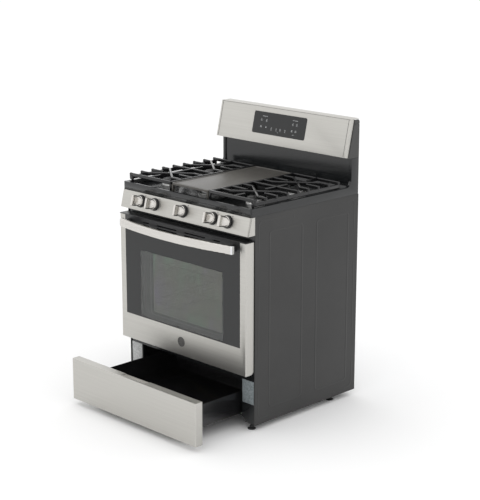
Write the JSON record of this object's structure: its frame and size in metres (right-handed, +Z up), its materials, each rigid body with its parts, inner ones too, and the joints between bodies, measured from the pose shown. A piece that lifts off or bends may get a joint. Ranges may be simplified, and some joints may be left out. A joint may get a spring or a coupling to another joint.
{
  "type": "freestanding gas range",
  "caption": "Freestanding gas range with cast grates and griddle, drop-down oven door with bowed handle, storage drawer and sloping backguard with touch glass.",
  "frame": {"origin": "centre of the footprint with the drawer standing open, on the floor", "axes": "+Z up; the range faces -Y; +X is to the right seen from the front"},
  "size_m": [0.758, 0.931, 1.2],
  "materials": {
    "stainless": "brushed, satin",
    "side_paint": "satin dark grey enamel",
    "black_enamel": "gloss porcelain enamel",
    "oven_enamel": "speckled porcelain enamel",
    "black_frame": "gloss black paint",
    "zinc": "zinc-coated sheet",
    "black_glass": "black printed glass",
    "clear_glass": "heat-resisting glass",
    "black_plastic": "satin black",
    "glide_plastic": "natural nylon",
    "cast_iron": "matt enamelled cast iron",
    "griddle_coat": "satin non-stick on cast iron",
    "burner_metal": "cast aluminium",
    "gas_metal": "machined brass",
    "pipe_steel": "plain steel",
    "regulator_alloy": "die-cast",
    "insulation": "glass wool blanket",
    "gasket": "braided glass rope",
    "ceramic": "ceramic insulator",
    "lamp_glass": "lamp cover glass",
    "board": "circuit board",
    "label_film": "blank film label",
    "badge": "plain satin disc",
    "knob_metal": "satin metal knob"
  },
  "bodies": {
    "cabinet": {"base_frame": "black_frame", "drawer_glides": "glide_plastic", "side_panel_left": "side_paint", "side_panel_right": "side_paint", "rear_cover": "zinc", "strain_relief": "black_plastic", "front_frame": "black_frame", "label_plates": "label_film", "hinge_receivers": "zinc", "oven_liner": "oven_enamel", "oven_floor": "black_enamel", "oven_insulation": "insulation", "oven_burners": "pipe_steel", "oven_lamp": "lamp_glass", "igniters": "ceramic", "flue_duct": "zinc", "door_gasket": "gasket", "cooktop": "black_enamel", "burner_heads": "burner_metal", "burner_caps": "black_enamel", "control_panel": "stainless", "gas_manifold": "pipe_steel", "pressure_regulator": "regulator_alloy", "burner_valves": "gas_metal", "burner_tubes": "burner_metal", "backguard_panel": "stainless", "touch_glass": "black_glass", "backguard_ends": "side_paint", "control_board": "board", "cabinet_screws": "pipe_steel"},
    "door": {"door_outer_panel": "stainless", "door_glass": "black_glass", "door_vent_trim": "black_plastic", "door_inner_panel": "black_enamel", "door_inner_glass": "clear_glass", "door_hinges": "zinc", "door_handle": "stainless", "handle_brackets": "black_plastic", "door_badge": "badge"},
    "drawer": {"drawer_front": "stainless", "drawer_box": "black_frame"},
    "rack_lower": {"rack_lower": "pipe_steel"},
    "rack_upper": {"rack_upper": "pipe_steel"},
    "grate_left": {"grate_left": "cast_iron"},
    "grate_right": {"grate_right": "cast_iron"},
    "griddle": {"griddle": "griddle_coat"},
    "collar_left_front": {"valve_collar_left_front": "gas_metal"},
    "knob_left_front": {"knob_left_front": "knob_metal"},
    "collar_left_rear": {"valve_collar_left_rear": "gas_metal"},
    "knob_left_rear": {"knob_left_rear": "knob_metal"},
    "collar_centre": {"valve_collar_centre": "gas_metal"},
    "knob_centre": {"knob_centre": "knob_metal"},
    "collar_right_rear": {"valve_collar_right_rear": "gas_metal"},
    "knob_right_rear": {"knob_right_rear": "knob_metal"},
    "collar_right_front": {"valve_collar_right_front": "gas_metal"},
    "knob_right_front": {"knob_right_front": "knob_metal"},
    "leg_left_front": {"leg_left_front": "pipe_steel"},
    "leg_left_rear": {"leg_left_rear": "pipe_steel"},
    "leg_right_front": {"leg_right_front": "pipe_steel"},
    "leg_right_rear": {"leg_right_rear": "pipe_steel"}
  },
  "joints": [
    {"name": "door_hinge", "type": "hinge", "parent": "cabinet", "child": "door", "pos_m": [0, -0.1565, 0.258], "axis": [1, 0, 0], "range_deg": [0, 90], "stiffness_Nm_per_rad": 22, "springref_deg": -20.05},
    {"name": "drawer_slide", "type": "slide", "parent": "cabinet", "child": "drawer", "axis": [0, -1, 0], "range_m": [-0.273, 0.107]},
    {"name": "rack_lower_slide", "type": "slide", "parent": "cabinet", "child": "rack_lower", "axis": [0, -1, 0], "range_m": [0, 0.02]},
    {"name": "rack_upper_slide", "type": "slide", "parent": "cabinet", "child": "rack_upper", "axis": [0, -1, 0], "range_m": [0, 0.02]},
    {"name": "grate_left_lift", "type": "slide", "parent": "cabinet", "child": "grate_left", "axis": [0, 0, 1], "range_m": [0, 0.08]},
    {"name": "grate_right_lift", "type": "slide", "parent": "cabinet", "child": "grate_right", "axis": [0, 0, 1], "range_m": [0, 0.08]},
    {"name": "griddle_lift", "type": "slide", "parent": "cabinet", "child": "griddle", "axis": [0, 0, 1], "range_m": [0, 0.08]},
    {"name": "knob_left_front_push", "type": "slide", "parent": "cabinet", "child": "collar_left_front", "axis": [0, 0.9699, -0.2435], "range_m": [0, 0.0035], "stiffness_N_per_m": 1500},
    {"name": "knob_left_front_turn", "type": "hinge", "parent": "collar_left_front", "child": "knob_left_front", "pos_m": [-0.258, -0.17471, 0.85], "axis": [0, -0.9699, 0.2435], "range_deg": [0, 270]},
    {"name": "knob_left_rear_push", "type": "slide", "parent": "cabinet", "child": "collar_left_rear", "axis": [0, 0.9699, -0.2435], "range_m": [0, 0.0035], "stiffness_N_per_m": 1500},
    {"name": "knob_left_rear_turn", "type": "hinge", "parent": "collar_left_rear", "child": "knob_left_rear", "pos_m": [-0.173, -0.17471, 0.85], "axis": [0, -0.9699, 0.2435], "range_deg": [0, 270]},
    {"name": "knob_centre_push", "type": "slide", "parent": "cabinet", "child": "collar_centre", "axis": [0, 0.9699, -0.2435], "range_m": [0, 0.0035], "stiffness_N_per_m": 1500},
    {"name": "knob_centre_turn", "type": "hinge", "parent": "collar_centre", "child": "knob_centre", "pos_m": [0, -0.17471, 0.85], "axis": [0, -0.9699, 0.2435], "range_deg": [0, 270]},
    {"name": "knob_right_rear_push", "type": "slide", "parent": "cabinet", "child": "collar_right_rear", "axis": [0, 0.9699, -0.2435], "range_m": [0, 0.0035], "stiffness_N_per_m": 1500},
    {"name": "knob_right_rear_turn", "type": "hinge", "parent": "collar_right_rear", "child": "knob_right_rear", "pos_m": [0.173, -0.17471, 0.85], "axis": [0, -0.9699, 0.2435], "range_deg": [0, 270]},
    {"name": "knob_right_front_push", "type": "slide", "parent": "cabinet", "child": "collar_right_front", "axis": [0, 0.9699, -0.2435], "range_m": [0, 0.0035], "stiffness_N_per_m": 1500},
    {"name": "knob_right_front_turn", "type": "hinge", "parent": "collar_right_front", "child": "knob_right_front", "pos_m": [0.258, -0.17471, 0.85], "axis": [0, -0.9699, 0.2435], "range_deg": [0, 270]},
    {"name": "leg_left_front_turn", "type": "hinge", "parent": "cabinet", "child": "leg_left_front", "pos_m": [-0.346, -0.1265, 0.025], "axis": [0, 0, 1], "range_deg": [-360, 360]},
    {"name": "leg_left_rear_turn", "type": "hinge", "parent": "cabinet", "child": "leg_left_rear", "pos_m": [-0.346, 0.3435, 0.025], "axis": [0, 0, 1], "range_deg": [-360, 360]},
    {"name": "leg_right_front_turn", "type": "hinge", "parent": "cabinet", "child": "leg_right_front", "pos_m": [0.346, -0.1265, 0.025], "axis": [0, 0, 1], "range_deg": [-360, 360]},
    {"name": "leg_right_rear_turn", "type": "hinge", "parent": "cabinet", "child": "leg_right_rear", "pos_m": [0.346, 0.3435, 0.025], "axis": [0, 0, 1], "range_deg": [-360, 360]}
  ]
}
